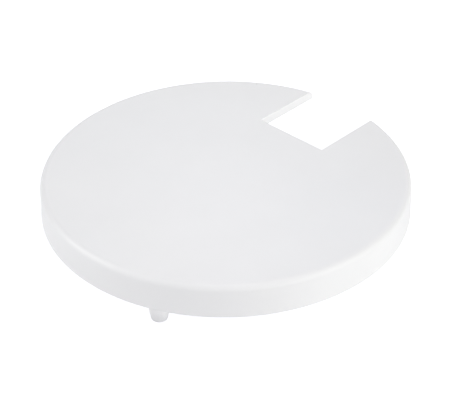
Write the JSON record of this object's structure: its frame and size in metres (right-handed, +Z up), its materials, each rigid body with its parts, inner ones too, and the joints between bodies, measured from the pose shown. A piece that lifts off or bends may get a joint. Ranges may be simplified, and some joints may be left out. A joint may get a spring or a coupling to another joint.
{
  "type": "ice fishing hole cover",
  "caption": "Round shallow white moulded cover with a skirted rounded rim, a rectangular line notch cut in from the edge and tapered locating pegs underneath.",
  "frame": {"origin": "in the plane of the peg tips, so the part stands on z = 0, and at the middle of the part's outline seen from above; the notch takes away the +Y side of the rim, so the disc's axis is 1.72 mm from the origin towards +Y", "axes": "+Z up through the top face, +Y out through the middle of the notch, +X to the right seen from -Y"},
  "size_m": [0.2286, 0.2251, 0.0467],
  "materials": {
    "cover_plastic": "smooth matte white moulded plastic",
    "peg_plastic": "smooth satin white moulded plastic",
    "screw_steel": "bright stainless steel"
  },
  "bodies": {
    "root": {"cover_shell": "cover_plastic", "peg_front_left": "peg_plastic", "peg_front_right": "peg_plastic", "peg_notch_right": "peg_plastic", "peg_notch_left": "peg_plastic", "screw_front_left_a": "screw_steel", "screw_front_left_b": "screw_steel", "screw_front_right_a": "screw_steel", "screw_front_right_b": "screw_steel", "screw_notch_right_a": "screw_steel", "screw_notch_right_b": "screw_steel", "screw_notch_left_a": "screw_steel", "screw_notch_left_b": "screw_steel"}
  },
  "joints": []
}
